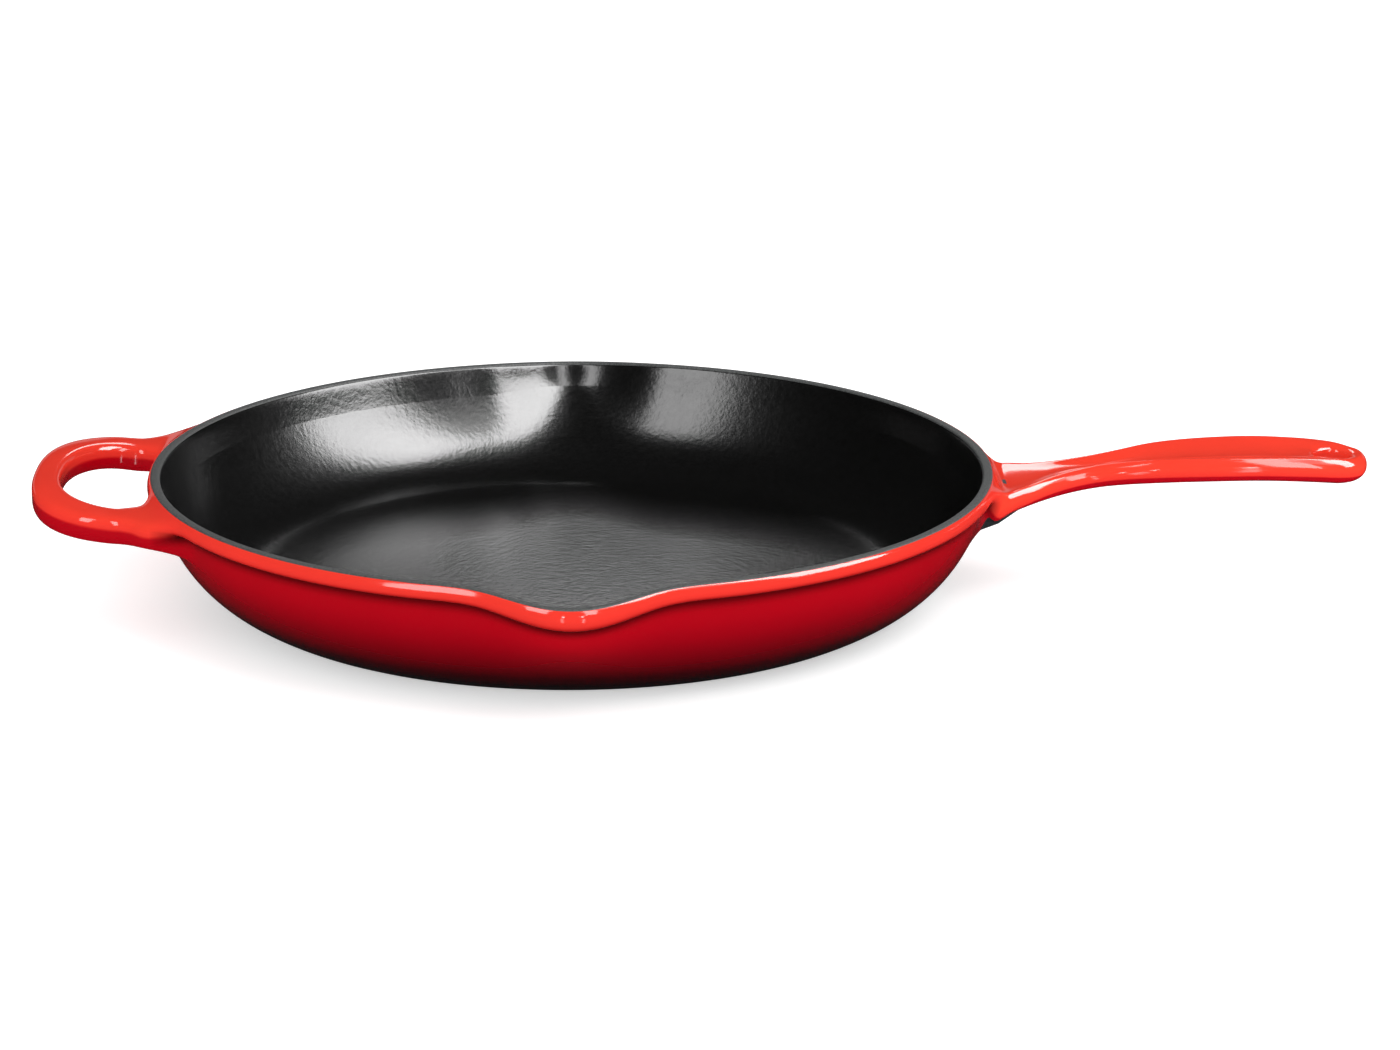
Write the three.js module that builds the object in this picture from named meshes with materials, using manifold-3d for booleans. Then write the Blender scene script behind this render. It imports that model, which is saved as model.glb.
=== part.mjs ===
// Enamelled cast iron skillet with two pour spouts, a long handle and a loop helper handle.
//
// Units are millimetres, +Z is up and the long handle points along +X. The origin is the
// centre of the flat underside, so the pan stands on z = 0.
//
// The real pan is one iron casting under a coat of vitreous enamel, so nothing moves. The
// casting is kept as three solids (pan, long handle, loop) and the coats as six skins, with a
// small clearance between neighbours in place of the bond.

import * as THREE from 'three';
import { mergeVertices } from 'three/addons/utils/BufferGeometryUtils.js';
import Module from 'manifold-3d';

const wasm = await Module();
wasm.setup();

// ---------------------------------------------------------------- driving dimensions

const coatThickness = 0.5;
const clearance = 0.3;
const castingInset = coatThickness + clearance;
const handleIronInset = 1.3;

// Pan body: radii are from the pan's axis, heights from the surface it stands on.
const footRadius = 120.6;
const footHeight = 1.8;
const footEdge = 0.5;
const wallFootRadius = 121.9;
const wallBendRadius = 146;
const wallBendHeight = 11.6;
const wallTopRadius = 151.8;
const beadRadius = 154.7;
const beadHeight = 6;
const beadRounding = 2.2;
const rimHeight = 46.5;
const rimEdgeStart = 60;
const rimEdgeEnd = 72;
const rimInnerRadius = 150.2;
const rimInnerEdge = 0.4;
const innerWallRadius = 148.2;
const innerBendRadius = 142.6;
const innerBendHeight = 15;
const floorHeight = 5.5;
const floorRadius = 110;
const floorBendRadius = 127;

// Pour spouts: the rim and wall swell outwards and dip at +Y and -Y.
const spoutHalfAngle = THREE.MathUtils.degToRad(14.5);
const spoutReach = 13;
const spoutDrop = 3.2;
const spoutBeadDrop = 5.6;
const spoutFoot = 10;

// Long handle: it leaves the wall low, rises past the rim and ends in a round eye.
const longHandleEnd = 291.5;
const longHandleEndRadius = 15.5;
const longHandleThickness = 11.5;
const neckThickness = 10;
const neckEnd = 205;
const longHandleStations = [
  { x: 140, halfWidth: 31, top: 43.5 },
  { x: 156, halfWidth: 24, top: 42 },
  { x: 171, halfWidth: 14.6, top: 44.6 },
  { x: 192, halfWidth: 10, top: 48.8 },
  { x: 214, halfWidth: 13.8, top: 52.4 },
  { x: 248, halfWidth: 16.9, top: 53.9 },
  { x: 276, halfWidth: 15.5, top: 52.6 },
  { x: 292, halfWidth: 13, top: 50.2 },
];
const rootDepth = 10;
const rootStart = 142;
const rootEnd = 171;
const troughStart = 140;
const troughFull = 200;
const troughDepth = 3.8;
const troughTipMargin = 3;
const eyeCentre = 278.3;
const eyeRadius = 7;
const eyeDrillLength = 60;
const eyeDrillHeight = 50;

// Loop helper handle on the -X side: a flat bar bent to a D, tilted up a little.
const loopArmCentre = 47.4;
const loopArmHalfWidth = 7.8;
const loopTip = -196;
const loopTipHalfWidth = 5.3;
const loopBendStart = -163;
const loopRootX = -122;
const loopRootFlare = 7;
const loopFlareStart = 138;
const loopFlareLength = 17;
const loopThickness = 10.2;
const loopTopAtBend = 42.9;
const loopRise = 0.125;
const loopSquareness = 2.4;
const loopArmShare = 0.36;

// Fineness of the faceted surfaces.
const turnSegments = 60;
const spoutCrowding = 0.2;
const wallSteps = 5;
const innerSteps = 10;
const arcSteps = 2;
const ringPoints = 12;
const longHandleRings = 22;
const ringCrowding = 1.2;
const loopRings = 32;
const eyeSides = 28;
const sectionSquareness = 2.9;
const tipLimit = 0.992;
const tipEdgeLimit = 0.9;
const bendStep = 0.02;
const halvings = 30;
const weldDistance = 1e-4;
const sharpestMitre = 0.5;
const envelopeTop = rimHeight + 40;

// ---------------------------------------------------------------- helpers

const point = (radius, height) => new THREE.Vector2(radius, height);

// Corner rounded by an arc about `centre`, from one angle to another, in degrees.
function arc(centre, radius, fromDegrees, toDegrees, steps) {
  const points = [];
  for (let step = 0; step <= steps; step += 1) {
    const angle = THREE.MathUtils.degToRad(THREE.MathUtils.lerp(fromDegrees, toDegrees, step / steps));
    points.push(point(centre.x + radius * Math.cos(angle), centre.y + radius * Math.sin(angle)));
  }
  return points;
}

// The line moved to its left by `distance`, with mitred corners.
function offsetLine(line, distance) {
  const last = line.length - 1;
  return line.map((here, index) => {
    const before = line[Math.max(index - 1, 0)];
    const after = line[Math.min(index + 1, last)];
    const arriving = (index > 0 ? here.clone().sub(before) : after.clone().sub(here)).normalize();
    const leaving = (index < last ? after.clone().sub(here) : arriving.clone()).normalize();
    const normal = point(-arriving.y - leaving.y, arriving.x + leaving.x).normalize();
    const mitre = Math.max(normal.dot(point(-arriving.y, arriving.x)), sharpestMitre);
    return here.clone().addScaledVector(normal, distance / mitre);
  });
}

// How much of the spout there is at an angle about the pan's axis, from 0 to 1.
function spoutShare(angle) {
  const fromSpout = Math.abs(Math.abs(angle) - Math.PI / 2) / spoutHalfAngle;
  return fromSpout < 1 ? Math.cos((fromSpout * Math.PI) / 2) ** 2 : 0;
}

// Swells and dips the pan at the two spouts.
function shapeSpouts(geometry) {
  const place = geometry.attributes.position;
  for (let index = 0; index < place.count; index += 1) {
    const x = place.getX(index);
    const y = place.getY(index);
    const height = place.getZ(index);
    const radius = Math.hypot(x, y);
    const turn = Math.atan2(y, x);
    const angle = turn + spoutCrowding * Math.sin(2 * turn);
    const share = spoutShare(angle);
    const swell = share * spoutReach * THREE.MathUtils.smoothstep(height, spoutFoot, rimHeight);
    const beadFoot = rimHeight - beadHeight;
    const wallDrop = spoutBeadDrop * THREE.MathUtils.smoothstep(height, spoutFoot, beadFoot);
    const intoBead = THREE.MathUtils.clamp((height - beadFoot) / beadHeight, 0, 1);
    const drop = share * THREE.MathUtils.lerp(wallDrop, spoutDrop, intoBead);
    const newRadius = radius < 1 ? radius : radius + swell;
    place.setXYZ(index, newRadius * Math.cos(angle), newRadius * Math.sin(angle), height - drop);
  }
  return geometry;
}

// A profile of (radius, height) points, anticlockwise, turned about the pan's axis. The
// facets of the strips from `foldFrom` up to `foldTo` are folded along their other diagonal.
function turned(profile, foldFrom = 0, foldTo = 0) {
  const geometry = new THREE.LatheGeometry(profile, turnSegments);
  const corners = geometry.index;
  const strips = profile.length - 1;
  for (let segment = 0; segment < turnSegments; segment += 1) {
    for (let strip = foldFrom; strip < foldTo; strip += 1) {
      const low = segment * profile.length + strip;
      const next = low + profile.length;
      const place = 6 * (segment * strips + strip);
      const folded = [low, next, next + 1, next + 1, low + 1, low];
      folded.forEach((corner, step) => corners.setX(place + step, corner));
    }
  }
  geometry.rotateX(Math.PI / 2);
  geometry.rotateZ(Math.PI);
  return shapeSpouts(geometry);
}

function toSolid(geometry) {
  const bare = geometry.clone();
  bare.deleteAttribute('normal');
  bare.deleteAttribute('uv');
  const merged = mergeVertices(bare, weldDistance);
  const mesh = new wasm.Mesh({
    numProp: 3,
    vertProperties: new Float32Array(merged.attributes.position.array),
    triVerts: new Uint32Array(merged.index.array),
  });
  return new wasm.Manifold(mesh);
}

function toGeometry(solid) {
  const mesh = solid.getMesh();
  const geometry = new THREE.BufferGeometry();
  const places = new Float32Array(mesh.vertProperties);
  geometry.setAttribute('position', new THREE.BufferAttribute(places, 3));
  geometry.setIndex(new THREE.BufferAttribute(new Uint32Array(mesh.triVerts), 1));
  geometry.computeVertexNormals();
  return geometry;
}

// A capped cylinder whose rings are moved onto the sections of a bar. `section(share)` gives
// the middle of the section, its sideways direction, its half sizes and its hollow on top.
function bar(section, rings) {
  const geometry = new THREE.CylinderGeometry(1, 1, 1, ringPoints, rings);
  const place = geometry.attributes.position;
  const roundness = 2 / sectionSquareness;
  const soften = (value) => Math.sign(value) * Math.abs(value) ** roundness;
  for (let index = 0; index < place.count; index += 1) {
    const here = section(place.getY(index) + 0.5);
    const across = soften(place.getX(index));
    const upward = soften(place.getZ(index));
    const hollow = upward > 0 ? here.hollow * (1 - across ** 2) * upward : 0;
    const moved = here.middle.clone().addScaledVector(here.side, across * here.halfWidth);
    moved.z += upward * here.halfHeight - hollow;
    place.setXYZ(index, moved.x, moved.y, moved.z);
  }
  return geometry;
}

// ---------------------------------------------------------------- pan outline

const beadFootHeight = rimHeight - beadHeight;

const baseLine = [
  point(0, 0),
  point(footRadius - footEdge, 0),
  point(footRadius, footEdge),
];

const wallCurve = new THREE.QuadraticBezierCurve(
  point(wallFootRadius, footHeight),
  point(wallBendRadius, wallBendHeight),
  point(wallTopRadius, beadFootHeight),
);
const beadLowCorner = point(beadRadius - beadRounding, beadFootHeight + beadRounding);
const beadHighCorner = point(beadRadius - beadRounding, rimHeight - beadRounding);

const outsideLine = [
  point(footRadius, footEdge + clearance),
  point(footRadius, footHeight),
  ...wallCurve.getPoints(wallSteps),
  ...arc(beadLowCorner, beadRounding, -90, 0, arcSteps),
  ...arc(beadHighCorner, beadRounding, 0, rimEdgeStart, arcSteps),
];

const rimLine = [
  ...arc(beadHighCorner, beadRounding, rimEdgeEnd, 90, 1),
  point(rimInnerRadius, rimHeight),
];

const innerCurve = new THREE.CubicBezierCurve(
  point(innerWallRadius, beadFootHeight),
  point(innerBendRadius, innerBendHeight),
  point(floorBendRadius, floorHeight),
  point(floorRadius, floorHeight),
);

const insideLine = [
  point(rimInnerRadius - rimInnerEdge, rimHeight - rimInnerEdge),
  ...innerCurve.getPoints(innerSteps),
  point(0, floorHeight),
];

// The whole skin, from the axis under the pan round to the axis on the cooking floor.
const skin = [...baseLine, ...outsideLine, ...rimLine, ...insideLine];
const ironSkin = skin.filter((place) => place !== outsideLine[0]);
const castingLine = offsetLine(ironSkin, castingInset);

// The coat on one stretch of the skin: out along the skin and back along its underside. The
// underside's facets are folded the other way, so that neighbouring skins lie parallel.
function coatOn(line) {
  const first = skin.indexOf(line[0]);
  const last = skin.indexOf(line[line.length - 1]);
  const underside = offsetLine(skin, coatThickness).slice(first, last + 1).reverse();
  if (last === skin.length - 1) {
    return turned([...underside, ...line], 0, underside.length - 1);
  }
  const profile = [...line, ...underside, line[0].clone()];
  return turned(profile, line.length, line.length + underside.length - 1);
}

// The filled outline of the pan, `grow` outside the enamel, up past the rim.
function panEnvelope(grow) {
  const line = offsetLine([...baseLine, ...outsideLine], -grow);
  const side = beadRadius + grow;
  const lid = [point(side, rimHeight), point(side, envelopeTop), point(0, envelopeTop)];
  return toSolid(turned([...line, ...lid]));
}

// ---------------------------------------------------------------- handles

const longHandleCurve = new THREE.CatmullRomCurve3(
  longHandleStations.map((station) => new THREE.Vector3(station.x, station.halfWidth, station.top)),
);

// Middle, width and height of the long handle's section, `inset` below its surface.
function longHandleSection(share, inset) {
  const start = longHandleStations[0].x;
  const reach = longHandleEnd - inset - start;
  const x = start + reach * Math.sin((share * Math.PI) / 2) ** ringCrowding;
  const intoGrip = THREE.MathUtils.smoothstep(x, rootEnd, neckEnd);
  const thickness = THREE.MathUtils.lerp(neckThickness, longHandleThickness, intoGrip);
  const halfThickness = thickness / 2 - inset;
  const shape = stationAt(Math.min(x, longHandleStations.at(-1).x));
  const endCentre = longHandleEnd - longHandleEndRadius;
  const pastCentre = Math.min((x - endCentre) / (longHandleEndRadius - inset), tipLimit);
  const rounded = (longHandleEndRadius - inset) * Math.sqrt(1 - Math.max(pastCentre, 0) ** 2);
  const pastEdge = Math.min((x - (longHandleEnd - thickness / 2)) / halfThickness, tipEdgeLimit);
  const halfHeight = halfThickness * Math.sqrt(1 - Math.max(pastEdge, 0) ** 2);
  const root = 1 - THREE.MathUtils.smoothstep(x, rootStart, rootEnd);
  const top = shape.z - thickness / 2 + halfHeight;
  const low = shape.z - thickness / 2 - halfHeight - root * rootDepth;
  const troughEnd = longHandleEnd - troughTipMargin;
  const intoTrough = THREE.MathUtils.smoothstep(x, troughStart, troughFull);
  const pastEye = THREE.MathUtils.smoothstep(x, eyeCentre, troughEnd);
  return {
    middle: new THREE.Vector3(x, 0, (top + low) / 2),
    side: new THREE.Vector3(0, -1, 0),
    halfWidth: pastCentre > 0 ? rounded : shape.y - inset,
    halfHeight: (top - low) / 2,
    hollow: troughDepth * intoTrough * (1 - pastEye),
  };
}

// The station curve's point at a given x, found by halving.
function stationAt(x) {
  let low = 0;
  let high = 1;
  for (let step = 0; step < halvings; step += 1) {
    const middle = (low + high) / 2;
    if (longHandleCurve.getPoint(middle).x < x) {
      low = middle;
    } else {
      high = middle;
    }
  }
  return longHandleCurve.getPoint(low);
}

function longHandle(inset) {
  const drillRadius = eyeRadius + inset;
  const eye = new THREE.CylinderGeometry(drillRadius, drillRadius, eyeDrillLength, eyeSides);
  eye.rotateX(Math.PI / 2);
  eye.translate(eyeCentre, 0, eyeDrillHeight);
  const solid = toSolid(bar((share) => longHandleSection(share, inset), longHandleRings));
  return solid.subtract(toSolid(eye));
}

// Point on the loop's centre line, `angle` round the bend, on the side of +Y or -Y (`hand`).
function onBend(angle, hand) {
  const reach = loopBendStart - loopTip - loopTipHalfWidth;
  const across = Math.abs(Math.cos(angle)) ** (2 / loopSquareness);
  const out = Math.abs(Math.sin(angle)) ** (2 / loopSquareness);
  return new THREE.Vector3(loopBendStart - reach * out, hand * loopArmCentre * across, 0);
}

// The loop's section at a share of its length, `inset` below its surface. The arms run
// straight out from the wall, flared at their roots, and the bend joins them.
function loopSection(share, inset) {
  const along = 2 * share - 1;
  const hand = Math.sign(along) || 1;
  const fromRoot = (1 - Math.abs(along)) / loopArmShare;
  const pastArm = (1 - Math.abs(along) - loopArmShare) / (1 - loopArmShare);
  const angle = (Math.PI / 2) * THREE.MathUtils.clamp(pastArm, 0, 1);
  const armX = THREE.MathUtils.lerp(loopRootX, loopBendStart, fromRoot);
  const onArm = fromRoot < 1;
  const middle = onArm ? new THREE.Vector3(armX, hand * loopArmCentre, 0) : onBend(angle, hand);
  const behind = onBend(Math.max(angle - bendStep, 0), hand);
  const ahead = onBend(Math.min(angle + bendStep, Math.PI / 2), hand);
  const onBendWay = behind.sub(ahead).multiplyScalar(hand).normalize();
  const wayRound = onArm ? new THREE.Vector3(hand, 0, 0) : onBendWay;
  if (along === 0) {
    wayRound.set(0, 1, 0);
  }
  const flareEnd = loopFlareStart + loopFlareLength;
  const root = 1 - THREE.MathUtils.smoothstep(-middle.x, loopFlareStart, flareEnd);
  const toTip = Math.sin(angle) ** 2;
  const halfWidth = THREE.MathUtils.lerp(loopArmHalfWidth, loopTipHalfWidth, toTip);
  const top = loopTopAtBend + loopRise * Math.max(loopBendStart - middle.x, 0);
  middle.z = top - loopThickness / 2;
  return {
    middle,
    side: new THREE.Vector3(wayRound.y, -wayRound.x, 0),
    halfWidth: halfWidth + loopRootFlare * root - inset,
    halfHeight: loopThickness / 2 - inset,
    hollow: 0,
  };
}

const loopHandle = (inset) => toSolid(bar((share) => loopSection(share, inset), loopRings));

// ---------------------------------------------------------------- pieces

const materials = {
  iron: { color: 0x3f4244, roughness: 0.75, metalness: 0.9 },
  redEnamel: { color: 0xd11a26, roughness: 0.12, metalness: 0 },
  blackEnamel: { color: 0x141414, roughness: 0.42, metalness: 0 },
  greyEnamel: { color: 0x5f6261, roughness: 0.8, metalness: 0 },
};

const skillet = new THREE.Group();

function addPiece(name, geometry, finish) {
  const mesh = new THREE.Mesh(geometry, new THREE.MeshStandardMaterial(finish));
  mesh.name = name;
  skillet.add(mesh);
}

const castingEnvelope = panEnvelope(clearance - castingInset);
const coatEnvelope = panEnvelope(clearance);
const handleOpenings = longHandle(coatThickness).add(loopHandle(coatThickness));

// The iron casting: the pan and the two handles that are cast with it.
addPiece('pan_casting', turned(castingLine), materials.iron);
const longHandleIron = longHandle(handleIronInset).subtract(castingEnvelope);
addPiece('long_handle_casting', toGeometry(longHandleIron), materials.iron);
const loopIron = loopHandle(handleIronInset).subtract(castingEnvelope);
addPiece('helper_handle_casting', toGeometry(loopIron), materials.iron);

// The enamel. The outside coat is open where the handles grow out of the wall.
const outsideCoat = toSolid(coatOn(outsideLine)).subtract(handleOpenings);
addPiece('outside_enamel', toGeometry(outsideCoat), materials.redEnamel);

const longHandleCoat = longHandle(0).subtract(longHandle(coatThickness)).subtract(coatEnvelope);
addPiece('long_handle_enamel', toGeometry(longHandleCoat), materials.redEnamel);

const helperHandleCoat = loopHandle(0).subtract(loopHandle(coatThickness)).subtract(coatEnvelope);
addPiece('helper_handle_enamel', toGeometry(helperHandleCoat), materials.redEnamel);

addPiece('cooking_surface_enamel', coatOn(insideLine), materials.blackEnamel);
addPiece('rim_enamel', coatOn(rimLine), materials.greyEnamel);
addPiece('base_enamel', turned([...baseLine, point(0, footEdge)]), materials.redEnamel);

export default skillet;
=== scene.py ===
import math

import bmesh
import bpy
from mathutils import Matrix, Vector


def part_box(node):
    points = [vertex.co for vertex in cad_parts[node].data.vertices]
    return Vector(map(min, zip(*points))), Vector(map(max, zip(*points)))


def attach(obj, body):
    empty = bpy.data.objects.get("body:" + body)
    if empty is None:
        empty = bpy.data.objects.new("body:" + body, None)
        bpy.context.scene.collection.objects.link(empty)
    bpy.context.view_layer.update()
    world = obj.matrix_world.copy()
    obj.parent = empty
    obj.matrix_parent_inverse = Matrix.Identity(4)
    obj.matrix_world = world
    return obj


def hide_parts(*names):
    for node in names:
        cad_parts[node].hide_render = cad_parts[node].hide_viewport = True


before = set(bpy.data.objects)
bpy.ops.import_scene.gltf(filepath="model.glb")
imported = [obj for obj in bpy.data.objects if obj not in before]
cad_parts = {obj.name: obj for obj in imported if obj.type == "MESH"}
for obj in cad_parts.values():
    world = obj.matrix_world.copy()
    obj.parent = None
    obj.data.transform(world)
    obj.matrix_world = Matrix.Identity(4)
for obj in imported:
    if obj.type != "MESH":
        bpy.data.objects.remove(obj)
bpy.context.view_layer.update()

# Enamelled cast iron skillet. Sizes below are in millimetres and become metres as they are used.
# The pan's axis is Z, the long handle runs along +X, the loop handle is at -X and the two pour
# spouts are at -Y and +Y.

MM = 0.001


def cad_mm(node):
    """Lowest and highest corner of a CAD node, in millimetres."""
    low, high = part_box(node)
    return low / MM, high / MM


# ------------------------------------------------------------------ sizes

RIM_HEIGHT = cad_mm("rim_enamel")[1].z
BEAD_RADIUS = cad_mm("outside_enamel")[1].x
FOOT_RADIUS = cad_mm("base_enamel")[1].x
FOOT_HEIGHT = cad_mm("base_enamel")[1].z
SPOUT_TIP = cad_mm("outside_enamel")[1].y
LONG_TIP = cad_mm("long_handle_enamel")[1].x
LOOP_TIP = cad_mm("helper_handle_enamel")[0].x

BEAD_HEIGHT = 6.0
BEAD_FOOT = RIM_HEIGHT - BEAD_HEIGHT
FLOOR_HEIGHT = 5.5
FLOOR_RADIUS = 110.0
RIM_INNER = 150.2
WALL_FOOT = (FOOT_RADIUS + 1.2, FOOT_HEIGHT + 0.3)
WALL_BEND = (146.0, 11.6)
WALL_TOP = (151.8, BEAD_FOOT - 0.1)

TURN = 96
SMOOTHING = 2
SPOUT_HALF_ANGLE = math.radians(14.5)
SPOUT_REACH = SPOUT_TIP - BEAD_RADIUS + 0.4
SPOUT_DROP = 3.2
SPOUT_BEAD_DROP = 5.6
SPOUT_FOOT = 10.0
UNMARKED = -1


# ------------------------------------------------------------------ small helpers

def smoothstep(value, low, high):
    share = min(max((value - low) / (high - low), 0.0), 1.0)
    return share * share * (3.0 - 2.0 * share)


def mix(start, end, share):
    return start + (end - start) * share


def bezier(share, start, control, end):
    """Point of a quadratic curve in the (radius, height) plane."""
    return tuple(
        (1 - share) ** 2 * a + 2 * share * (1 - share) * b + share ** 2 * c
        for a, b, c in zip(start, control, end)
    )


def through(stations, x):
    """Smooth curve through stations (x, value, value, ...), read at one x."""
    last = len(stations) - 2
    place = max(i for i in range(last + 1) if i == 0 or stations[i][0] <= x)
    here, there = stations[place], stations[place + 1]
    before = stations[max(place - 1, 0)]
    after = stations[min(place + 2, len(stations) - 1)]
    width = there[0] - here[0]
    share = min(max((x - here[0]) / width, 0.0), 1.0)
    values = []
    for c in range(1, len(here)):
        leaving = (there[c] - before[c]) / (there[0] - before[0]) * width
        arriving = (after[c] - here[c]) / (after[0] - here[0]) * width
        s2, s3 = share ** 2, share ** 3
        values.append(
            (2 * s3 - 3 * s2 + 1) * here[c] + (s3 - 2 * s2 + share) * leaving
            + (3 * s2 - 2 * s3) * there[c] + (s3 - s2) * arriving
        )
    return values


# ------------------------------------------------------------------ modelling helpers

def deselect():
    bpy.ops.object.select_all(action="DESELECT")


def turned(name, outline):
    """A profile of (radius, height) points turned about the pan's axis: a circle, extruded ring
    by ring. A profile that ends where it starts closes on itself; an end at radius 0 is closed."""
    deselect()
    radius, height = outline[0]
    bpy.ops.mesh.primitive_circle_add(
        vertices=TURN, radius=max(radius, 0.01) * MM, location=(0, 0, height * MM)
    )
    piece = bpy.context.object
    piece.name = name
    bpy.ops.object.transform_apply(location=True, rotation=False, scale=False)
    bpy.ops.object.mode_set(mode="EDIT")
    bpy.ops.mesh.select_all(action="SELECT")
    for step in range(1, len(outline)):
        new_radius, new_height = outline[step]
        rise = (new_height - height) * MM
        bpy.ops.mesh.extrude_region_move(TRANSFORM_OT_translate={"value": (0, 0, rise)})
        grow = max(new_radius, 0.01) / max(radius, 0.01)
        bpy.ops.transform.resize(value=(grow, grow, 1), center_override=(0, 0, 0))
        radius, height = new_radius, new_height
    bpy.ops.mesh.select_all(action="SELECT")
    bpy.ops.mesh.remove_doubles(threshold=0.02 * MM)
    bpy.ops.mesh.normals_make_consistent(inside=False)
    bpy.ops.mesh.select_all(action="DESELECT")
    bpy.ops.object.mode_set(mode="OBJECT")
    return piece


def shape_spouts(piece):
    """Swells the pan outwards and dips its rim at the two spouts."""
    for vertex in piece.data.vertices:
        radius = math.hypot(vertex.co.x, vertex.co.y) / MM
        if radius < 1.0:
            continue
        height = vertex.co.z / MM
        angle = math.atan2(vertex.co.y, vertex.co.x)
        away = abs(abs(angle) - math.pi / 2) / SPOUT_HALF_ANGLE
        share = math.cos(away * math.pi / 2) ** 2 if away < 1.0 else 0.0
        swell = share * SPOUT_REACH * smoothstep(height, SPOUT_FOOT, RIM_HEIGHT)
        into_bead = min(max((height - BEAD_FOOT) / BEAD_HEIGHT, 0.0), 1.0)
        wall_drop = SPOUT_BEAD_DROP * smoothstep(height, SPOUT_FOOT, BEAD_FOOT)
        vertex.co.z -= share * mix(wall_drop, SPOUT_DROP, into_bead) * MM
        vertex.co.x *= (radius + swell) / radius
        vertex.co.y *= (radius + swell) / radius


def smoothed(piece, levels=SMOOTHING):
    """Catmull-Clark subdivision, applied, with smooth shading."""
    deselect()
    bpy.context.view_layer.objects.active = piece
    piece.select_set(True)
    rounding = piece.modifiers.new("rounding", "SUBSURF")
    rounding.levels = levels
    rounding.render_levels = levels
    bpy.ops.object.modifier_apply(modifier=rounding.name)
    bpy.ops.object.shade_smooth()
    return piece


def fit_cage(piece, is_fitted, passes=4):
    """Moves the chosen cage vertices until the smoothed surface runs through the places where
    they stand now. Smoothing keeps the cage's vertices first, in their order."""
    wanted = {v.index: v.co.copy() for v in piece.data.vertices if is_fitted(v.index)}
    rounding = piece.modifiers.new("rounding", "SUBSURF")
    rounding.levels = SMOOTHING
    for _ in range(passes):
        smooth = piece.evaluated_get(bpy.context.evaluated_depsgraph_get()).data
        missed = {index: place - smooth.vertices[index].co for index, place in wanted.items()}
        for index, miss in missed.items():
            piece.data.vertices[index].co += miss
        piece.data.update()
        bpy.context.view_layer.update()
    piece.modifiers.remove(rounding)


def select_faces(piece, is_wanted):
    """In edit mode, selects the faces whose corners' tags all pass is_wanted(column, row, ring)."""
    bpy.ops.mesh.select_mode(type="FACE")
    bpy.ops.mesh.select_all(action="DESELECT")
    mesh_data = bmesh.from_edit_mesh(piece.data)
    tags = [mesh_data.verts.layers.int[name] for name in ("column", "row", "ring")]
    for face in mesh_data.faces:
        face.select_set(all(is_wanted(*[corner[tag] for tag in tags]) for corner in face.verts))
    bmesh.update_edit_mesh(piece.data)


def mark_patch(piece, columns, rows, mark):
    """Tags the wall's vertices on the given lines, angles in degrees and (radius, height) rows,
    with their column, their row and `mark` as their ring."""
    for name in ("column", "row", "ring"):
        if name not in piece.data.attributes:
            piece.data.attributes.new(name, "INT", "POINT")
            for tag in piece.data.attributes[name].data:
                tag.value = UNMARKED
    tags = piece.data.attributes
    for vertex in piece.data.vertices:
        if tags["ring"].data[vertex.index].value != UNMARKED:
            continue
        radius = math.hypot(vertex.co.x, vertex.co.y) / MM
        angle = math.degrees(math.atan2(vertex.co.y, vertex.co.x))
        for column, wanted in enumerate(columns):
            if abs((angle - wanted + 180) % 360 - 180) > 0.5:
                continue
            for row, (row_radius, row_height) in enumerate(rows):
                if math.hypot(radius - row_radius, vertex.co.z / MM - row_height) < 0.04:
                    tags["column"].data[vertex.index].value = column
                    tags["row"].data[vertex.index].value = row
                    tags["ring"].data[vertex.index].value = mark


def grow_bar(piece, mark, rings, place):
    """Extrudes the marked patch ring by ring, tagging each new vertex with its ring, and lays
    every vertex at place(column, row, ring), in millimetres."""
    bpy.context.view_layer.objects.active = piece
    bpy.ops.object.mode_set(mode="EDIT")
    select_faces(piece, lambda column, row, ring: ring == mark)
    for ring in range(1, rings + 1):
        bpy.ops.mesh.extrude_region_move(TRANSFORM_OT_translate={"value": (0, 0, 0.1)})
        mesh_data = bmesh.from_edit_mesh(piece.data)
        ring_tag = mesh_data.verts.layers.int["ring"]
        for vertex in mesh_data.verts:
            if vertex.select:
                vertex[ring_tag] = mark + ring
    bmesh.update_edit_mesh(piece.data)
    bpy.ops.object.mode_set(mode="OBJECT")
    tags = piece.data.attributes
    for vertex in piece.data.vertices:
        ring = tags["ring"].data[vertex.index].value - mark
        if 0 < ring <= rings:
            column = tags["column"].data[vertex.index].value
            row = tags["row"].data[vertex.index].value
            vertex.co = Vector(place(column, row, ring)) * MM


def bridge_gaps(piece, is_gap, cuts=0):
    """Deletes the faces that is_gap(column, row, ring) picks and bridges the two open loops."""
    bpy.context.view_layer.objects.active = piece
    bpy.ops.object.mode_set(mode="EDIT")
    select_faces(piece, is_gap)
    bpy.ops.mesh.delete(type="FACE")
    bpy.ops.mesh.select_mode(type="EDGE")
    bpy.ops.mesh.select_all(action="DESELECT")
    bpy.ops.mesh.select_non_manifold()
    bpy.ops.mesh.bridge_edge_loops(number_cuts=cuts)
    bpy.ops.mesh.select_all(action="DESELECT")
    bpy.ops.object.mode_set(mode="OBJECT")


# ------------------------------------------------------------------ red outside: wall and bead

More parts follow.
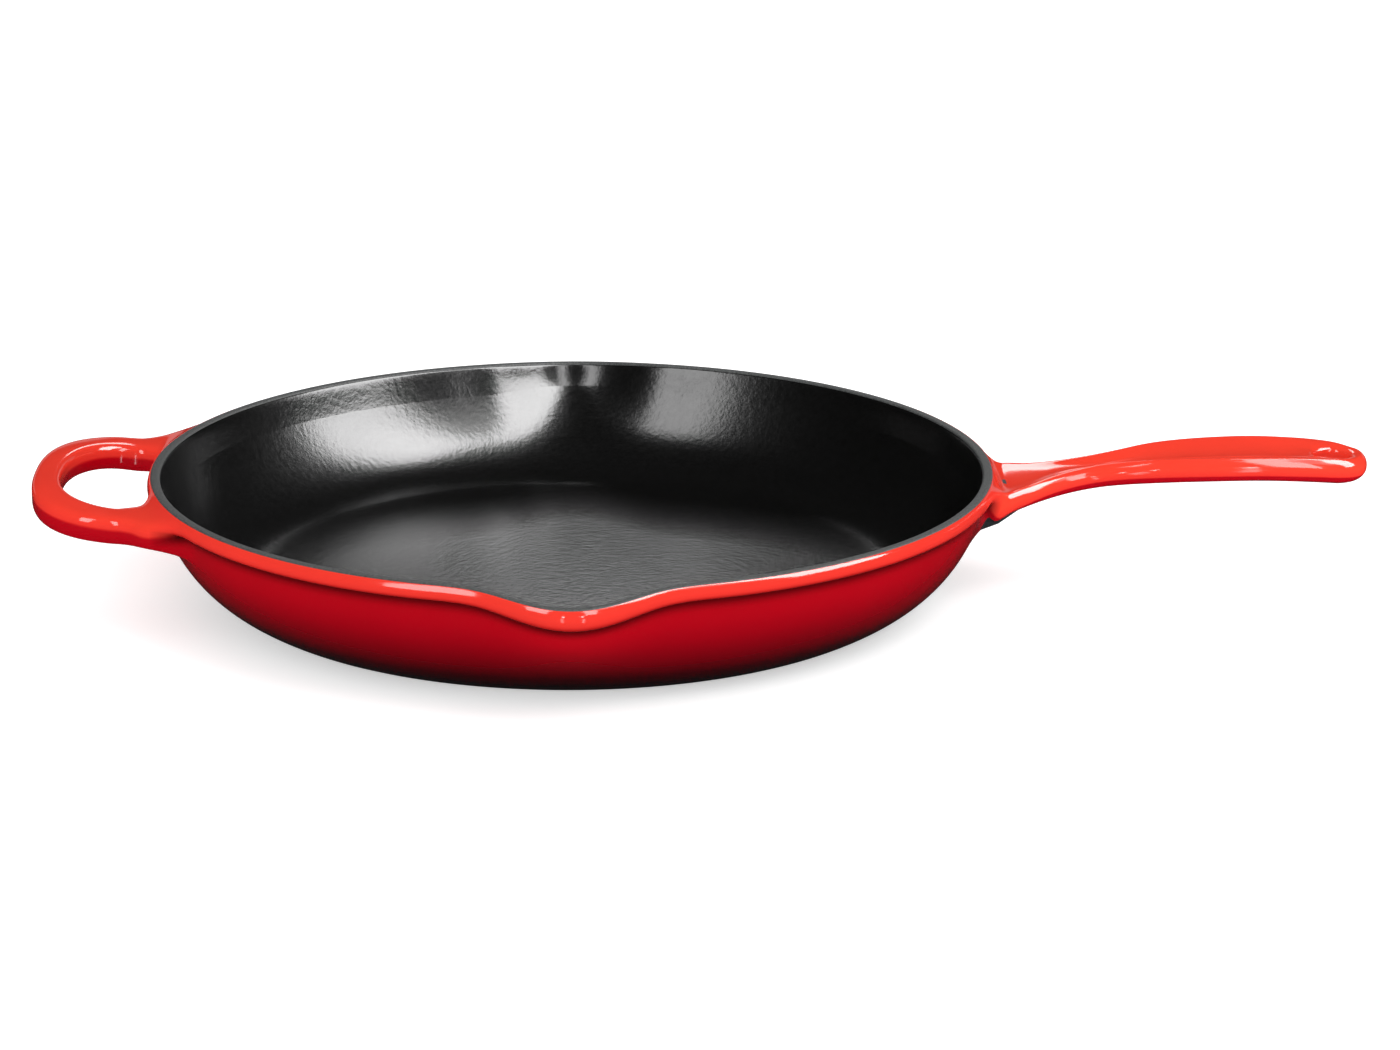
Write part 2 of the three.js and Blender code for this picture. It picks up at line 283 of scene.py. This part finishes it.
WALL_SHARES = (0.0, 0.12, 0.26, 0.42, 0.57, 0.71, 0.825, 0.93, 0.985)
wall_rows = [bezier(share, WALL_FOOT, WALL_BEND, WALL_TOP) for share in WALL_SHARES]
bead_rows = [
    (WALL_TOP[0] + 0.1, BEAD_FOOT),
    (WALL_TOP[0] + 0.7, BEAD_FOOT + 0.05),
    (BEAD_RADIUS - 0.9, BEAD_FOOT + 0.3),
    (BEAD_RADIUS - 0.1, BEAD_FOOT + 1.3),
    (BEAD_RADIUS, BEAD_FOOT + 3.2),
]
coat_edge = [
    (BEAD_RADIUS - 0.6, RIM_HEIGHT - 0.95),
    (BEAD_RADIUS - 1.05, RIM_HEIGHT - 0.4),
    (BEAD_RADIUS - 1.2, RIM_HEIGHT - 0.3),
    (BEAD_RADIUS - 1.5, RIM_HEIGHT - 0.5),
]
coat_back = [
    (BEAD_RADIUS - 3.4, RIM_HEIGHT - 2.5),
    *[(r - 0.7, z + 0.5) for r, z in (wall_rows[8], wall_rows[5], wall_rows[3], wall_rows[1])],
    (FOOT_RADIUS - 0.3, FOOT_HEIGHT + 0.7),
    (FOOT_RADIUS - 0.3, FOOT_HEIGHT + 0.15),
    (FOOT_RADIUS + 0.4, FOOT_HEIGHT + 0.12),
]
red_outline = [*wall_rows, *bead_rows, *coat_edge, *coat_back, wall_rows[0]]

# How far each row of the coat lies in the crease under the bead, where the colour
# is darkened as painted shade for the shadow under the bead's overhang.
in_crease = {
    wall_rows[7]: 0.1, wall_rows[8]: 0.75, bead_rows[0]: 1.0, bead_rows[1]: 1.0,
    bead_rows[2]: 0.8, bead_rows[3]: 0.15,
}

red_skin = turned("red_enamel_skin", red_outline)
# Each vertex's height sets its colour on the ramp: darker towards the foot, partly the real ombré
# and partly painted shade.
ombre_and_shade_level = red_skin.data.attributes.new("ombre_and_shade_level", "FLOAT", "POINT")
crease = red_skin.data.attributes.new("crease", "FLOAT", "POINT")
for vertex in red_skin.data.vertices:
    radius = math.hypot(vertex.co.x, vertex.co.y) / MM
    ombre_and_shade_level.data[vertex.index].value = vertex.co.z / MM
    for (row_radius, row_height), depth in in_crease.items():
        if math.hypot(radius - row_radius, vertex.co.z / MM - row_height) < 0.04:
            crease.data[vertex.index].value = depth
shape_spouts(red_skin)


# ------------------------------------------------------------------ loop helper handle

LOOP_COLUMNS = 4
loop_rows = [*wall_rows[6:], *bead_rows, coat_edge[0]]
LOOP_ROW_COUNT = len(loop_rows) - 1
ARM_CENTRE = 47.2
ARM_HALF_WIDTH = 8.0
TIP_HALF_WIDTH = 5.1
LOOP_BEND = -163.0
LOOP_THICKNESS = 10.4
LOOP_TOP = 43.0
LOOP_RISE = 0.125
LOOP_SQUARENESS = 2.35
LOOP_SECTION = 2 / 4.0
BEND_RINGS = 22

# Rings of the flared roots, from the wall outwards: inner edge, outer edge, top and underside.
loop_root = (
    ((-153.4, 34.4), (-148.8, 65.0), 43.6, 33.0),
    ((-156.8, 37.0), (-154.4, 59.4), 43.1, 32.7),
    ((-160.0, 38.6), (-159.4, 56.2), 43.0, 32.6),
)
LOOP_RINGS = 2 * len(loop_root) + BEND_RINGS


def on_bend(turn, hand):
    """Point on the middle of the bend."""
    reach = LOOP_BEND - (LOOP_TIP + TIP_HALF_WIDTH)
    power = 2 / LOOP_SQUARENESS
    middle = Vector((
        LOOP_BEND - reach * max(math.sin(turn), 0) ** power,
        hand * ARM_CENTRE * max(math.cos(turn), 0) ** power,
        0,
    ))
    return middle


def bend_section(place):
    """Inner edge, outer edge, top and underside of the loop's bend; place runs from 0 to 1."""
    hand = -1.0 if place < 0.5 else 1.0
    turn = min(place, 1 - place) * math.pi
    middle = on_bend(turn, hand)
    step = 0.05
    run = on_bend(min(turn + step, math.pi / 2), hand) - on_bend(max(turn - step, 0), hand)
    out = Vector((run.y, -run.x, 0)).normalized()
    if out.dot(Vector((-1, hand, 0))) < 0:
        out = -out
    half_width = mix(ARM_HALF_WIDTH, TIP_HALF_WIDTH, math.sin(turn) ** 2)
    top = LOOP_TOP + LOOP_RISE * (LOOP_BEND - middle.x)
    inner = middle - out * half_width
    outer = middle + out * half_width
    return (inner.x, inner.y), (outer.x, outer.y), top, top - LOOP_THICKNESS


def loop_section(ring):
    step = ring - 1
    from_end = min(step, LOOP_RINGS - 1 - step)
    if from_end < len(loop_root):
        hand = -1.0 if step < LOOP_RINGS / 2 else 1.0
        inner, outer, top, bottom = loop_root[from_end]
        return (inner[0], hand * inner[1]), (outer[0], hand * outer[1]), top, bottom
    return bend_section((step - len(loop_root)) / (BEND_RINGS - 1))


def loop_place(column, row, ring):
    inner, outer, top, bottom = loop_section(ring)
    across = 2 * column / LOOP_COLUMNS - 1
    upward = 2 * row / LOOP_ROW_COUNT - 1
    round_across = across * math.sqrt(1 - upward ** 2 / 2)
    round_up = upward * math.sqrt(1 - across ** 2 / 2)
    length = math.hypot(round_across, round_up) or 1.0
    edge = max(abs(across), abs(upward))
    soft_across = math.copysign((abs(round_across) / length) ** LOOP_SECTION, across) * edge
    soft_up = math.copysign((abs(round_up) / length) ** LOOP_SECTION, upward) * edge
    share = (soft_across + 1) / 2
    return (
        mix(inner[0], outer[0], share),
        mix(inner[1], outer[1], share),
        mix(bottom, top, (soft_up + 1) / 2),
    )


def loop_columns(side):
    return [180 + side * (11.25 + 3.75 * i) for i in range(LOOP_COLUMNS + 1)]


LOOP_MARK = 1000
LOOP_FAR_MARK = 500
mark_patch(red_skin, loop_columns(1), loop_rows, LOOP_MARK)
mark_patch(red_skin, loop_columns(-1), loop_rows, LOOP_FAR_MARK)
grow_bar(red_skin, LOOP_MARK, LOOP_RINGS, loop_place)
bridge_gaps(
    red_skin, lambda column, row, ring: ring in (LOOP_FAR_MARK, LOOP_MARK + LOOP_RINGS)
)


# ------------------------------------------------------------------ long handle

HANDLE_COLUMNS = 6
handle_rows = [*wall_rows[5:], *bead_rows, coat_edge[0]]
HANDLE_ROW_COUNT = len(handle_rows) - 1
END_RADIUS = 15.5
END_CENTRE = LONG_TIP - END_RADIUS
RIDGE_INSET = 3.1
EYE_CENTRE = 278.3
EYE_RADIUS = 7.2
TROUGH = 2.6

# Along the handle: half width between the ridges, widest half width, ridge height, underside.
handle_stations = (
    (157, 21.0, 25.0, 41.4, 27.0),
    (163, 17.0, 20.4, 41.8, 30.4),
    (170, 12.3, 15.8, 43.2, 33.4),
    (178, 8.9, 12.2, 45.0, 35.6),
    (190, 6.9, 10.1, 47.4, 37.9),
    (200, 7.9, 11.0, 49.1, 39.2),
    (214, 11.6, 14.0, 51.0, 40.4),
    (232, 14.0, 16.3, 52.1, 41.3),
    (252, 14.8, 17.1, 52.5, 41.7),
    (270, 13.6, 16.3, 51.9, 41.0),
    (280, 12.4, 15.4, 51.2, 40.3),
    (292, 11.0, 14.0, 50.0, 39.4),
)
HANDLE_X = (157, 161, 166, 172, 179, 187, 195, 203, 211, 220, 229, 238, 247, 256, 263.5)
EYE_RINGS = 4
HANDLE_RINGS = len(HANDLE_X) + EYE_RINGS
RING_A = len(HANDLE_X) + 1
RING_M = RING_A + 1
RING_B = RING_A + 2
RING_C = RING_A + 3


def flank(share, ridge, widest, top, bottom, under):
    """Side of the section from the ridge (share 0) round to the edge of the underside (1):
    distance out from the middle and height."""
    waist = mix(bottom, top, 0.6)
    if share < 0.375:
        turn = share / 0.375 * math.pi / 2
        return mix(ridge, widest, math.sin(turn)), mix(waist, top, math.cos(turn))
    turn = (share - 0.375) / 0.625 * under
    return belly(turn, widest, waist, bottom)


def belly(turn, widest, waist, bottom):
    """Rounded lower half of the section: turn 0 at the waist and a quarter turn underneath."""
    out = math.copysign(abs(math.cos(turn)) ** 0.8, math.cos(turn))
    return widest * out, waist - (waist - bottom) * abs(math.sin(turn)) ** 0.8


def handle_place(column, row, ring):
    across = 2 * column / HANDLE_COLUMNS - 1
    down = 1 - row / HANDLE_ROW_COUNT
    hand = -1 if column < HANDLE_COLUMNS / 2 else 1
    on_side = column in (0, HANDLE_COLUMNS)
    if ring <= len(HANDLE_X):
        x = HANDLE_X[ring - 1]
        ridge, widest, top, bottom = through(handle_stations, x)
        root = 1 - smoothstep(x, 154, 176)
        under = math.radians(64)
        waist = mix(bottom, top, 0.6)
        if on_side:
            out, height = flank(down, ridge, widest, top, bottom, under)
            y = hand * out
        elif row == HANDLE_ROW_COUNT:
            y = across * ridge
            height = top - TROUGH * smoothstep(x, 160, 200) * (1 - across ** 2)
            height -= 1.0 * root * (1 - across ** 2)
        else:
            share = (column / HANDLE_COLUMNS)
            out, height = belly(under + (math.pi - 2 * under) * (1 - share), widest, waist, bottom)
            y = out
        low = (top - height) / (top - bottom)
        return x - 6.0 * root * max(low, 0), y, height
    return eye_place(column, row, ring, across, down, hand, on_side)


# Rings round the eye: where each crosses the handle's side, as an angle about the end's centre,
# and the station that its heights come from.
eye_rings = {RING_A: (None, 270), RING_M: (88, 276.5), RING_B: (62, 283), RING_C: (40, 287.5)}


def eye_place(column, row, ring, across, down, hand, on_side):
    """The rings round the hanging eye and the cap that closes the tip."""
    side_angle, station = eye_rings[ring]
    ridge, widest, top, bottom = through(handle_stations, station)
    under = math.radians(56)
    if on_side or ring == RING_C:
        if ring == RING_A:
            out, height = flank(down, ridge, widest, top, bottom, under)
            return station, hand * out, height
        angle = math.radians(side_angle) * across
        out, height = flank(down, END_RADIUS - RIDGE_INSET, END_RADIUS, top, bottom, under)
        return END_CENTRE + out * math.cos(angle), out * math.sin(angle), height
    step = column - HANDLE_COLUMNS / 2
    if ring == RING_A:
        angle = math.pi - step * math.radians(30)
    elif ring == RING_B:
        angle = step * math.radians(30)
    else:
        angle = math.copysign(math.pi / 2, step)
    radius = EYE_RADIUS if abs(step) == 2 or ring != RING_M else 0.0
    x = EYE_CENTRE + radius * math.cos(angle)
    y = radius * math.sin(angle)
    if row == HANDLE_ROW_COUNT:
        return x, y, top - 1.5
    return x, y, bottom + 0.6


HANDLE_MARK = 2000
mark_patch(
    red_skin, [-11.25 + 3.75 * i for i in range(HANDLE_COLUMNS + 1)], handle_rows, HANDLE_MARK
)
grow_bar(red_skin, HANDLE_MARK, HANDLE_RINGS, handle_place)
bridge_gaps(
    red_skin,
    lambda column, row, ring: ring - HANDLE_MARK in (RING_A, RING_M, RING_B)
    and 0 < column < HANDLE_COLUMNS and row in (0, HANDLE_ROW_COUNT),
    cuts=2,
)
rings = [tag.value for tag in red_skin.data.attributes["ring"].data]
on_bar = [ring > LOOP_MARK and ring != HANDLE_MARK for ring in rings]
# Painted shade on both handles: the colour runs from dark red underneath to bright red on top, and
# the painted crease shade is cleared there.
for vertex in red_skin.data.vertices:
    if on_bar[vertex.index]:
        x, height = vertex.co.x / MM, vertex.co.z / MM
        if x > 0:
            top, bottom = through(handle_stations, x)[2:]
            ombre_and_shade = 27 + 25 * smoothstep((height - bottom) / (top - bottom), 0.0, 0.75)
        else:
            top = LOOP_TOP + LOOP_RISE * max(LOOP_BEND - x, 0)
            ombre_and_shade = 30 + 19 * smoothstep((height - top) / LOOP_THICKNESS + 1, 0.0, 1.0)
        red_skin.data.attributes["ombre_and_shade_level"].data[vertex.index].value = ombre_and_shade
        red_skin.data.attributes["crease"].data[vertex.index].value = 0.0
fit_cage(red_skin, lambda index: on_bar[index], passes=2)
smoothed(red_skin)
for name in ("column", "row", "ring"):
    red_skin.data.attributes.remove(red_skin.data.attributes[name])


# ------------------------------------------------------------------ grey rim

rim_outline = [
    (BEAD_RADIUS - 1.0, RIM_HEIGHT - 0.75),
    (BEAD_RADIUS - 1.25, RIM_HEIGHT - 0.38),
    (BEAD_RADIUS - 1.6, RIM_HEIGHT - 0.12),
    (BEAD_RADIUS - 2.3, RIM_HEIGHT - 0.02),
    (BEAD_RADIUS - 3.2, RIM_HEIGHT),
    (RIM_INNER + 0.5, RIM_HEIGHT - 0.02),
    (RIM_INNER + 0.05, RIM_HEIGHT - 0.15),
    (RIM_INNER - 0.2, RIM_HEIGHT - 0.5),
    (RIM_INNER - 0.3, RIM_HEIGHT - 0.9),
    (RIM_INNER + 0.5, RIM_HEIGHT - 1.1),
    (BEAD_RADIUS - 1.8, RIM_HEIGHT - 1.1),
]
grey_rim = turned("grey_rim_enamel", [*rim_outline, rim_outline[0]])
shape_spouts(grey_rim)
smoothed(grey_rim)


# ------------------------------------------------------------------ black inside

INNER_WALL = (
    (FLOOR_RADIUS, FLOOR_HEIGHT), (127.0, FLOOR_HEIGHT), (142.6, 15.0), (148.2, BEAD_FOOT),
)


def cubic(share, points):
    a, b, c, d = points
    return tuple(
        (1 - share) ** 3 * a[i] + 3 * (1 - share) ** 2 * share * b[i]
        + 3 * (1 - share) * share ** 2 * c[i] + share ** 3 * d[i]
        for i in (0, 1)
    )


inside_top = [
    *[cubic(step / 9, INNER_WALL) for step in range(10)],
    (148.95, RIM_HEIGHT - 3.2),
    (RIM_INNER - 0.7, RIM_HEIGHT - 1.4),
    (RIM_INNER - 0.42, RIM_HEIGHT - 0.75),
    (RIM_INNER - 0.15, RIM_HEIGHT - 0.6),
    (RIM_INNER + 0.2, RIM_HEIGHT - 0.8),
]
inside_back = [
    (149.5, RIM_HEIGHT - 3.0),
    *[(r + 0.6, z - 0.1) for r, z in (cubic(share, INNER_WALL) for share in (1.0, 0.7, 0.4, 0.15))],
    (FLOOR_RADIUS, FLOOR_HEIGHT - 0.6),
    (0.0, FLOOR_HEIGHT - 0.6),
]
floor_rows = [(0.0, FLOOR_HEIGHT), (4.0, FLOOR_HEIGHT), (30.0, FLOOR_HEIGHT), (70.0, FLOOR_HEIGHT)]
black_inside = turned("black_inside_enamel", [*floor_rows, *inside_top, *inside_back])
shape_spouts(black_inside)
smoothed(black_inside)


# ------------------------------------------------------------------ underside

base_outline = [
    (0.0, 0.9), (60.0, 0.9), (FOOT_RADIUS - 1.0, 0.9),
    (FOOT_RADIUS - 0.6, FOOT_HEIGHT - 0.3),
    (FOOT_RADIUS - 0.3, FOOT_HEIGHT),
    (FOOT_RADIUS, FOOT_HEIGHT - 0.2),
    (FOOT_RADIUS, 0.8),
    (FOOT_RADIUS - 0.25, 0.25),
    (FOOT_RADIUS - 0.9, 0.0),
    (FOOT_RADIUS - 3.0, 0.0), (60.0, 0.0), (4.0, 0.0), (0.0, 0.0),
]
base = turned("underside_enamel", base_outline)
smoothed(base)


# ------------------------------------------------------------------ materials

def linear(hex_colour):
    """sRGB hex to linear RGBA."""
    channels = [int(hex_colour[i:i + 2], 16) / 255 for i in (1, 3, 5)]
    return (*[c / 12.92 if c <= 0.04045 else ((c + 0.055) / 1.055) ** 2.4 for c in channels], 1.0)


def new_material(name):
    material = bpy.data.materials.new(name)
    material.use_nodes = True
    return material, material.node_tree.nodes["Principled BSDF"]


def add_node(tree, kind, settings=None, links=None):
    """Adds a node, sets its properties and sockets, and links sockets from other nodes."""
    node = tree.nodes.new(kind)
    for key, value in (settings or {}).items():
        if isinstance(key, str) and hasattr(node, key):
            setattr(node, key, value)
        else:
            node.inputs[key].default_value = value
    for socket, source in (links or {}).items():
        tree.links.new(source, node.inputs[socket])
    return node


# Vitreous enamel, sprayed red over a dark ground coat and fired: a deep wet gloss whose colour
# deepens to near black towards the foot, partly the enamel's real ombré and partly painted shade,
# and is darkened under the bead by painted shade.
def red_enamel():
    material, surface = new_material("red_vitreous_enamel")
    tree = material.node_tree
    place = add_node(tree, "ShaderNodeTexCoord").outputs["Object"]
    height = add_node(
        tree, "ShaderNodeAttribute", {"attribute_name": "ombre_and_shade_level"}
    ).outputs["Fac"]
    depth = add_node(tree, "ShaderNodeAttribute", {"attribute_name": "crease"}).outputs["Fac"]
    # Ramp level, in millimetres of height on the wall and bead and a painted shade level on the
    # handles, and the colour there: darker towards the foot, partly real ombré and partly painted
    # shade; the steep drop under the bead is painted shade; the orange of the top stops is partly
    # the enamel's own colour and partly painted sheen.
    ombre_and_shade = (
        (1.5, "#080001"), (4, "#160002"), (9, "#340005"), (16, "#68000a"), (25, "#8e000f"),
        (34, "#a80213"), (39.8, "#ac0414"), (41, "#c81c1c"), (42.4, "#e2332a"), (52, "#f2402e"),
    )
    low, high = ombre_and_shade[0][0], ombre_and_shade[-1][0]
    level = add_node(
        tree, "ShaderNodeMapRange", {"From Min": low, "From Max": high}, {"Value": height}
    ).outputs["Result"]
    ramp = add_node(tree, "ShaderNodeValToRGB", links={"Fac": level})
    ramp.color_ramp.elements[0].color = linear(ombre_and_shade[0][1])
    ramp.color_ramp.elements[1].color = linear(ombre_and_shade[-1][1])
    for stop, stop_colour in ombre_and_shade[1:-1]:
        element = ramp.color_ramp.elements.new((stop - low) / (high - low))
        element.color = linear(stop_colour)
    body = ramp.outputs["Color"]
    cloud = add_node(
        tree, "ShaderNodeTexNoise", {"Scale": 1 / (24 * MM), "Detail": 2.0}, {"Vector": place}
    ).outputs["Fac"]
    shade = add_node(
        tree, "ShaderNodeMapRange", {"To Min": 0.95, "To Max": 1.05}, {"Value": cloud}
    ).outputs["Result"]
    # Painted shade: the crease under the bead is darkened down to a tenth of its colour.
    painted_crease_shade = add_node(
        tree, "ShaderNodeMapRange", {"To Min": 1.0, "To Max": 0.1}, {"Value": depth}
    ).outputs["Result"]
    tone = add_node(
        tree, "ShaderNodeMath", {"operation": "MULTIPLY"}, {0: shade, 1: painted_crease_shade}
    ).outputs["Value"]
    colour = add_node(
        tree, "ShaderNodeVectorMath", {"operation": "MULTIPLY"}, {0: body, 1: tone}
    ).outputs["Vector"]
    tree.links.new(colour, surface.inputs["Base Color"])
    # The fired glass flows, but keeps a faint orange peel about 5 mm across.
    peel = add_node(
        tree, "ShaderNodeTexNoise", {"Scale": 1 / (5 * MM), "Detail": 1.0}, {"Vector": place}
    ).outputs["Fac"]
    bump = add_node(
        tree, "ShaderNodeBump", {"Strength": 0.35, "Distance": 0.08 * MM}, {"Height": peel}
    ).outputs["Normal"]
    tree.links.new(bump, surface.inputs["Normal"])
    surface.inputs["Roughness"].default_value = 0.09
    surface.inputs["IOR"].default_value = 1.5
    return material


# Satin black enamel on the cooking surface: a slightly pitted glass, so lights show on it as
# wide soft patches broken up by a fine orange peel.
def black_enamel():
    material, surface = new_material("black_satin_enamel")
    tree = material.node_tree
    place = add_node(tree, "ShaderNodeTexCoord").outputs["Object"]
    peel = add_node(
        tree, "ShaderNodeTexNoise", {"Scale": 1 / (2.2 * MM), "Detail": 2.0, "Roughness": 0.6},
        {"Vector": place},
    ).outputs["Fac"]
    pits = add_node(
        tree, "ShaderNodeTexNoise", {"Scale": 1 / (0.9 * MM), "Detail": 1.0}, {"Vector": place}
    ).outputs["Fac"]
    coarse = add_node(
        tree, "ShaderNodeBump", {"Strength": 0.5, "Distance": 0.16 * MM}, {"Height": peel}
    ).outputs["Normal"]
    fine = add_node(
        tree, "ShaderNodeBump", {"Strength": 0.4, "Distance": 0.05 * MM},
        {"Height": pits, "Normal": coarse},
    ).outputs["Normal"]
    tree.links.new(fine, surface.inputs["Normal"])
    gloss = add_node(
        tree, "ShaderNodeMapRange", {"To Min": 0.18, "To Max": 0.27}, {"Value": peel}
    ).outputs["Result"]
    tree.links.new(gloss, surface.inputs["Roughness"])
    ground = add_node(tree, "ShaderNodeValToRGB", links={"Fac": pits})
    ground.color_ramp.elements[0].position = 0.35
    ground.color_ramp.elements[0].color = linear("#070707")
    ground.color_ramp.elements[1].position = 0.7
    ground.color_ramp.elements[1].color = linear("#0f0f0f")
    tree.links.new(ground.outputs["Color"], surface.inputs["Base Color"])
    surface.inputs["IOR"].default_value = 1.5
    return material


# Bare-looking rim: thin matt ground enamel over a linished iron edge, with a sandy grain about
# half a millimetre across, drawn at 0.8 mm so that it shows.
def grey_enamel():
    material, surface = new_material("matt_grey_ground_enamel")
    tree = material.node_tree
    place = add_node(tree, "ShaderNodeTexCoord").outputs["Object"]
    grit = add_node(
        tree, "ShaderNodeTexNoise", {"Scale": 1 / (0.8 * MM), "Detail": 3.0, "Roughness": 0.7},
        {"Vector": place},
    ).outputs["Fac"]
    colour = add_node(tree, "ShaderNodeValToRGB", links={"Fac": grit})
    colour.color_ramp.elements[0].position = 0.35
    colour.color_ramp.elements[0].color = linear("#1b1d1e")
    colour.color_ramp.elements[1].position = 0.68
    colour.color_ramp.elements[1].color = linear("#505352")
    tree.links.new(colour.outputs["Color"], surface.inputs["Base Color"])
    bump = add_node(
        tree, "ShaderNodeBump", {"Strength": 0.6, "Distance": 0.1 * MM}, {"Height": grit}
    ).outputs["Normal"]
    tree.links.new(bump, surface.inputs["Normal"])
    surface.inputs["Roughness"].default_value = 0.68
    surface.inputs["IOR"].default_value = 1.5
    return material


# Sand-cast iron inside the enamel: dull dark grey metal with a cast grain of a millimetre.
def cast_iron():
    material, surface = new_material("sand_cast_iron")
    tree = material.node_tree
    place = add_node(tree, "ShaderNodeTexCoord").outputs["Object"]
    grain = add_node(
        tree, "ShaderNodeTexNoise", {"Scale": 1 / (1.0 * MM), "Detail": 4.0}, {"Vector": place}
    ).outputs["Fac"]
    colour = add_node(tree, "ShaderNodeValToRGB", links={"Fac": grain})
    colour.color_ramp.elements[0].color = linear("#2e3032")
    colour.color_ramp.elements[1].color = linear("#5a5d60")
    tree.links.new(colour.outputs["Color"], surface.inputs["Base Color"])
    bump = add_node(
        tree, "ShaderNodeBump", {"Strength": 0.7, "Distance": 0.2 * MM}, {"Height": grain}
    ).outputs["Normal"]
    tree.links.new(bump, surface.inputs["Normal"])
    surface.inputs["Roughness"].default_value = 0.7
    surface.inputs["Metallic"].default_value = 1.0
    return material


red = red_enamel()
black = black_enamel()
grey = grey_enamel()
iron = cast_iron()


def finish_piece(piece, material, slot, *nodes):
    piece.data.materials.clear()
    piece.data.materials.append(material)
    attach(piece, "root")
    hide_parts(*nodes)


finish_piece(
    red_skin, red, "red_enamel", "outside_enamel", "long_handle_enamel", "helper_handle_enamel"
)
finish_piece(grey_rim, grey, "grey_enamel", "rim_enamel")
finish_piece(black_inside, black, "black_enamel", "cooking_surface_enamel")
finish_piece(base, red, "red_enamel", "base_enamel")
for node in ("pan_casting", "long_handle_casting", "helper_handle_casting"):
    for material_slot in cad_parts[node].material_slots:
        material_slot.material = iron


# ------------------------------------------------------------------ camera, floor and light

YAW = math.radians(1.56)
ELEVATION = 0.288
ROLL = 0.004
DISTANCE = 1.6
LENS = 112.08
TARGET = Vector((46.7 * MM * math.cos(YAW), -46.7 * MM * math.sin(YAW), 23.8 * MM))


def add_camera():
    camera_data = bpy.data.cameras.new("camera")
    camera = bpy.data.objects.new("camera", camera_data)
    bpy.context.scene.collection.objects.link(camera)
    forward = Vector((
        math.cos(ELEVATION) * math.sin(YAW),
        math.cos(ELEVATION) * math.cos(YAW),
        -math.sin(ELEVATION),
    ))
    level_right = Vector((math.cos(YAW), -math.sin(YAW), 0))
    level_up = level_right.cross(forward)
    right = level_right * math.cos(ROLL) + level_up * math.sin(ROLL)
    up = level_up * math.cos(ROLL) - level_right * math.sin(ROLL)
    place = TARGET - forward * DISTANCE
    turn = Matrix((right, up, -forward)).transposed().to_4x4()
    camera.matrix_world = Matrix.Translation(place) @ turn
    camera_data.lens = LENS
    camera_data.sensor_width = 36
    camera_data.sensor_fit = "HORIZONTAL"
    bpy.context.scene.camera = camera


add_camera()

bpy.ops.mesh.primitive_plane_add(size=9, location=(0, 1.5, 0))
floor = bpy.context.object
floor.name = "floor"
floor_paint, floor_surface = new_material("pale_floor")
floor_surface.inputs["Base Color"].default_value = (0.85, 0.85, 0.85, 1)
floor_surface.inputs["Roughness"].default_value = 1.0
floor_surface.inputs["Emission Color"].default_value = (1, 1, 1, 1)
floor_surface.inputs["Emission Strength"].default_value = 0.5
floor.data.materials.append(floor_paint)
floor.visible_glossy = False


def softbox(name, place, aim, width, height, radiance, lights_all=False):
    """A soft rectangular light at `place`, turned towards `aim`, in metres. Unless it lights
    all, it only shows as a reflection, as a card does."""
    light_data = bpy.data.lights.new(name, "AREA")
    light_data.shape = "RECTANGLE"
    light_data.size = width
    light_data.size_y = height
    light_data.energy = radiance * math.pi * width * height
    light = bpy.data.objects.new(name, light_data)
    bpy.context.scene.collection.objects.link(light)
    light.location = place
    light.rotation_euler = (Vector(aim) - Vector(place)).to_track_quat("-Z", "Y").to_euler()
    light.visible_camera = False
    light.visible_diffuse = lights_all
    return light


def around(turn, rise, distance):
    """Place seen from the pan at an angle from the front, to the right, and a height angle."""
    turn, rise = math.radians(turn), math.radians(rise)
    return (
        distance * math.cos(rise) * math.sin(turn),
        -distance * math.cos(rise) * math.cos(turn),
        distance * math.sin(rise),
    )


CENTRE = (0, 0, 0.03)
softbox("key_softbox", around(55, 50, 2.0), CENTRE, 1.1, 1.1, 2.4, lights_all=True)
softbox("right_softbox", around(74, 42, 1.9), CENTRE, 1.1, 1.9, 17.0)
softbox("front_right_softbox", around(24, 32, 2.1), CENTRE, 0.5, 1.9, 9.0)
softbox("front_left_softbox", around(-39, 32, 2.1), CENTRE, 0.7, 1.9, 8.0)
softbox("back_softbox", (0.02, 2.6, 1.5), (0, 0, 0), 0.34, 0.9, 4.5)
softbox("horizon_card", (0.0, 3.0, 0.25), (0, 0, 0.1), 5.0, 0.5, 0.3)
softbox("left_strip", (-0.39, -2.05, 0.1), (-0.17, 0, 0.03), 0.1, 0.2, 16.0)
softbox("left_strip_low", (-0.36, -1.6, -0.36), (-0.17, 0, 0.03), 0.09, 0.45, 5.0)
softbox("right_strip", (0.45, -1.9, 0.1), (0.2, 0, 0.03), 0.1, 0.2, 16.0)
softbox("right_strip_low", (0.42, -1.5, -0.36), (0.2, 0, 0.03), 0.09, 0.45, 5.0)

# The studio is white to the floor and the pan's colour, and dark where the gloss mirrors it.
world = bpy.data.worlds.new("studio")
bpy.context.scene.world = world
world.use_nodes = True
studio = world.node_tree
white_studio = studio.nodes["Background"]
white_studio.inputs["Color"].default_value = (1, 1, 1, 1)
white_studio.inputs["Strength"].default_value = 1.0
dark_studio = add_node(studio, "ShaderNodeBackground", {"Color": (0.015, 0.015, 0.015, 1)})
is_gloss = add_node(studio, "ShaderNodeLightPath").outputs["Is Glossy Ray"]
both = add_node(studio, "ShaderNodeMixShader", links={
    0: is_gloss, 1: white_studio.outputs[0], 2: dark_studio.outputs[0],
}).outputs[0]
studio.links.new(both, studio.nodes["World Output"].inputs["Surface"])
bpy.context.scene.view_settings.view_transform = "Standard"
